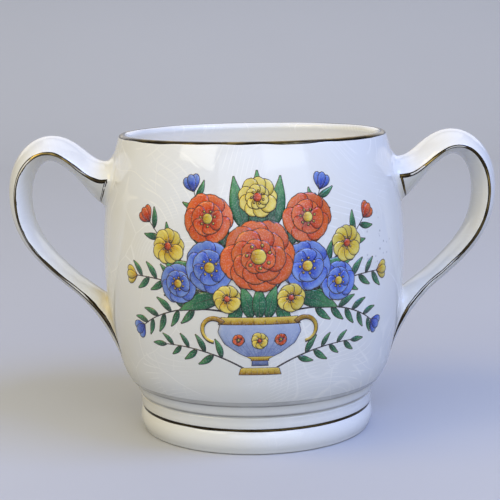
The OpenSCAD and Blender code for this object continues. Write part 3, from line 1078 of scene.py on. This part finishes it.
def flower(name, centre, radius, petals, spin, layers=double, heart="yellow"):
    """A round flower of overlapping petals, in one or more layers about a heart with gold seeds."""
    centre = np.asarray(centre, float)
    for size, offset in layers:
        for i in range(petals):
            angle = spin + 360 * (i + offset) / petals + rng.uniform(-4, 4)
            length = radius * size * rng.uniform(0.94, 1.04)
            drawn(name, centre, angle, length, petal_overlap * math.pi * length / petals, petal_shape,
                  rng.uniform(-14, 14))
    disc(heart, centre, radius * heart_r)
    for i in range(seeds):
        a = i * seed_step + spin
        disc("gold", centre + radius * seeds_out * np.array([math.cos(a), math.sin(a)]), radius * seed_r)


# A spray's stem, the width, taper, spread and bend of its leaves, and its bud
stem_w = 0.5
leaf_share = 0.3
leaf_taper = 0.35
leaf_spread = (38, 52)
leaf_bend = 26
bud_fan = (-26, 26, 0)
bud_size = (4.2, 2.3)


def spray(base, angle, length, bend, leaves, leaf_length, tip):
    """A curved stem with leaves in pairs, and a bud or a leaf at its tip."""
    place = np.asarray(base, float)
    end = inks["outline"].blade(place, angle, length, stem_w, stem_shape, bend=bend)[0]
    steps = 2 * leaves + 2
    for i in range(steps):
        turned = angle + bend * ((i + 0.5) / steps - 0.5)
        place = place + length / steps * heading(turned)
        if i < 2 or i == steps - 1:
            continue
        hand = 1 if i % 2 else -1
        size = leaf_length * (1 - leaf_taper * i / steps) * rng.uniform(0.9, 1.08)
        leaf(place, turned + hand * rng.uniform(*leaf_spread), size, size * leaf_share, -hand * leaf_bend)
    if tip:
        for fan in bud_fan:
            drawn(tip, end - 0.4 * heading(turned), turned + fan, *bud_size, petal_shape)
    else:
        size = 0.8 * leaf_length
        leaf(end, turned, size, size * leaf_share)


def way(hand, angle):
    """An angle as it is on the right, or mirrored for the left."""
    return angle if hand > 0 else 180 - angle


# Motifs on the right, which are repeated on the left. Sprays: base, angle, length, bend, pairs of leaves,
# length of a leaf and bud. Leaves: base, angle, length, width and bend. Flowers: as flower() takes them
sprays = [((3, 45), 62, 31, 18, 5, 7.0, "blue"), ((4, 44), 36, 34, 22, 5, 7.4, "red"),
          ((6, 43), 11, 31, -26, 5, 7.2, "yellow"), ((8, 41), -12, 28, -46, 5, 6.8, "blue"),
          ((4, 25.5), 14, 24, -34, 4, 5.6, None)]
leaves = [((8, 58), 58, 15, 5.0, -20), ((12, 50), 16, 15, 5.0, 20), ((9, 45), -18, 13, 4.4, -24),
          ((3, 62), 76, 14, 4.4, 16), ((5, 43.5), -62, 8, 3.2, 26)]
flowers = [("yellow", (24.5, 57.5), 4.8, 9, 10, single, "red"), ("red", (13.2, 65), 6.4, 6, 20),
           ("blue", (21.5, 48), 5.2, 6, 40), ("blue", (12.6, 52.6), 6.6, 6, 5),
           ("yellow", (8.2, 44.6), 3.6, 7, 15, single, "red")]

# Urn: widths at levels over its foot, and its stretches with their ink, levels and extra width
urn_foot_z = 24.0
urn_levels = np.array([0, 1.6, 2.6, 4.4, 6.0, 8.5, 11.5, 14.0, 15.6])
urn_widths = np.array([5.6, 5.0, 2.2, 2.0, 5.6, 9.4, 11.0, 10.2, 9.4])
urn_parts = [("slate", 2.6, 14.2, 0.0), ("gold", 0.0, 1.8, 0.3), ("gold", 4.0, 5.0, 0.3),
             ("gold", 13.8, 15.6, 0.5)]


def urn_part(name, low, high, grow):
    def shape(t):
        return np.interp(low + (high - low) * t, urn_levels, urn_widths) + grow
    drawn(name, (0, urn_foot_z + low), 90, high - low, 2.0, shape, rows=14)


for hand in (1, -1):
    for (u, z), angle, length, bend, *rest in sprays:
        spray((hand * u, z), way(hand, angle), length, hand * bend, *rest)
for hand in (1, -1):
    for (u, z), angle, length, width, bend in leaves:
        leaf((hand * u, z), way(hand, angle), length, width, hand * bend)
leaf((0, 60), 90, 17, 5.0)
leaf((-2.2, 39.2), 104, 9, 3.6, 14)
leaf((2.2, 39.2), 76, 9, 3.6, -14)
leaf((0, 39.2), 90, 9, 3.4)
flower("yellow", (0, 70.4), 5.2, 9, 5, small_double, "red")
for hand in (1, -1):
    for name, (u, z), *rest in flowers:
        flower(name, (hand * u, z), *rest)
flower("red", (0, 55.5), 9.6, 8, 12, triple)
for part in urn_parts:
    urn_part(*part)
for hand in (1, -1):
    top = (hand * 9.6, urn_foot_z + 14.2)
    drawn("gold", top, way(hand, -62), 12.5, 1.2, stem_shape, -hand * 225, rows=24)
    flower("red", (hand * 5.6, urn_foot_z + 9.6), 1.5, 5, 18, single)
flower("yellow", (0, urn_foot_z + 9.4), 2.2, 7, 18, single, "red")
for name, (piece, *look) in ink_looks.items():
    film = inks[name]
    make_piece(piece, np.vstack(film.points), film.faces, ink("ink_" + name, *look), "body_glaze",
               uv=np.vstack(film.uv), values={"tone": np.concatenate(film.tone)}, smooth=film.smooth)

# Stage, camera and light, in metres
paper = srgb(198, 200, 206)
paper_mottle = 0.97
paper_bounce = 0.35
paper_rough = 0.7


def dimmed(colour, share):
    return tuple(share * c for c in colour[:3]) + (1.0,)


def paint(name, colour):
    """Matt paper, pale where it is seen or mirrored, that throws little light back on to the cup."""
    s = Shader(name)
    seen = s.node("LightPath")
    mirrored_ray = s.math("MAXIMUM", seen.outputs["Is Glossy Ray"], seen.outputs["Is Transmission Ray"])
    shown = s.math("MAXIMUM", seen.outputs["Is Camera Ray"], mirrored_ray)
    pale = s.mix(s.noise(9.0), colour, dimmed(colour, paper_mottle))
    return s.set(Base_Color=s.mix(shown, dimmed(colour, paper_bounce), pale), Roughness=paper_rough)


def backdrop():
    """A pale floor that turns up into a wall behind the cup."""
    front, back, cove, top, half = -1.6, 0.75, 0.45, 1.7, 2.2
    bend = arc([back, cove], cove, -90, 0, 24)
    profile = np.vstack([[front, 0], bend, [back + cove, top]])
    points = [(x, y, z) for y, z in profile for x in (-half, half)]
    faces = [[2 * i, 2 * i + 1, 2 * i + 3, 2 * i + 2] for i in range(len(profile) - 1)]
    mesh = bpy.data.meshes.new("backdrop")
    mesh.from_pydata(points, [], faces)
    mesh.polygons.foreach_set("use_smooth", [True] * len(faces))
    mesh.materials.append(paint("backdrop_paper", paper))
    stage = placed("backdrop", mesh)


def outward(azimuth, elevation, distance=1.0):
    """An offset from the cup. Azimuth 0 is in front, and the right is positive."""
    a, e = math.radians(azimuth), math.radians(elevation)
    level = math.cos(e) * distance
    return Vector((math.sin(a) * level, -math.cos(a) * level, math.sin(e) * distance))


def lamp(name, azimuth, elevation, distance, width, height, power, colour):
    """A soft rectangular lamp that faces the cup."""
    data = bpy.data.lights.new(name, "AREA")
    data.shape = "RECTANGLE"
    data.size, data.size_y = width, height
    data.energy = power
    data.color = colour
    way = outward(azimuth, elevation)
    light = placed(name, data)
    light.location = aim + distance * way
    light.rotation_euler = (-way).to_track_quat("-Z", "Y").to_euler()


backdrop()
aim = Vector((0, 0, 0.0502))

# Lamps: azimuth and elevation in degrees, distance, width, height, watts and colour
lamp("left_window", -49, 30, 1.2, 0.62, 0.34, 2.1, (1.0, 0.96, 0.80))
lamp("right_window", 25, 31, 1.2, 0.68, 0.36, 1.2, (0.88, 0.94, 1.0))
lamp("left_lamp", -70, 50, 1.1, 0.6, 0.45, 3.1, (1.0, 0.72, 0.16))
lamp("right_lamp", 62, 50, 1.1, 0.6, 0.45, 7.0, (0.28, 0.42, 1.0))
lamp("front_lamp", -4, 54, 1.3, 0.8, 0.45, 0.9, (0.88, 0.91, 1.0))
lamp("back_lamp", 176, 46, 1.2, 0.9, 0.5, 1.1, (0.98, 0.98, 1.0))
lamp("fill_lamp", 8, 15, 1.3, 1.8, 0.7, 5.9, (0.74, 0.83, 1.0))
lamp("back_fill_lamp", 180, 20, 1.1, 1.6, 0.4, 1.5, (1.0, 0.98, 0.96))

world = bpy.data.worlds.new("studio")
bpy.context.scene.world = world
world.use_nodes = True
sky = world.node_tree.nodes["Background"].inputs
sky["Color"].default_value = srgb(250, 252, 250)
sky["Strength"].default_value = 0.38

camera_azimuth = -1.5
camera_elevation = 9.35
camera_distance = 0.3762
camera_roll = math.radians(0.95)
data = bpy.data.cameras.new("camera")
data.lens = 95.04
data.sensor_width = 36.0
data.shift_x = -0.008
data.clip_start = 0.01
camera = placed("camera", data)
offset = outward(camera_azimuth, camera_elevation, camera_distance)
turned = (-offset).to_track_quat("-Z", "Y").to_matrix() @ Matrix.Rotation(-camera_roll, 3, "Z")
camera.matrix_world = Matrix.Translation(aim + offset) @ turned.to_4x4()
bpy.context.scene.camera = camera
bpy.context.scene.view_settings.view_transform = "Standard"
